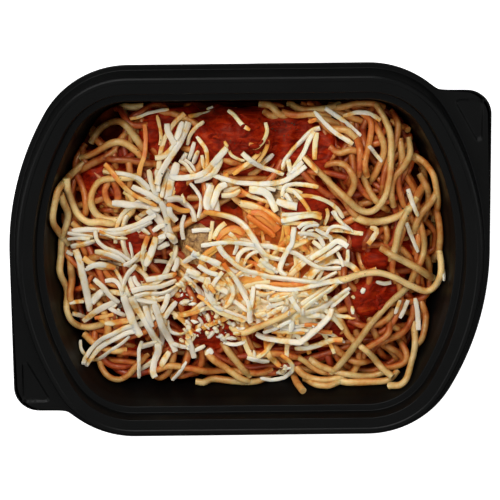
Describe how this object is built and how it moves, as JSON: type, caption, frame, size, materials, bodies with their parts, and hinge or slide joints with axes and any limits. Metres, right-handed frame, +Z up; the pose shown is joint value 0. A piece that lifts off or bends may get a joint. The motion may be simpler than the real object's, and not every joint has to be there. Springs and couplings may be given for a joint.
{
  "type": "spaghetti and meatballs ready meal in a tray",
  "caption": "Black formed meal tray with two corner tabs, filled with spaghetti in tomato sauce, meatballs and a mound of shredded white cheese; stands on its base.",
  "frame": {"origin": "middle of the tray's base, on the plane that it stands on", "axes": "+X along the tray's long side towards the end whose tab is at the back, +Y across the tray towards the sauce-covered meatball, +Z up out of the tray"},
  "size_m": [0.2056, 0.1662, 0.04],
  "materials": {
    "tray": "satin black thermoformed sheet",
    "pasta": "cooked pasta stained with tomato sauce, moist",
    "sauce": "thick wet tomato sauce",
    "meat": "browned minced meat",
    "cheese": "soft shredded white cheese, moist"
  },
  "bodies": {
    "root": {"tray": "tray", "spaghetti": "pasta", "tomato_sauce": "sauce", "meatball_1": "meat", "meatball_2": "meat", "meatball_3": "meat", "meatball_4": "meat", "shredded_cheese": "cheese"}
  },
  "joints": []
}
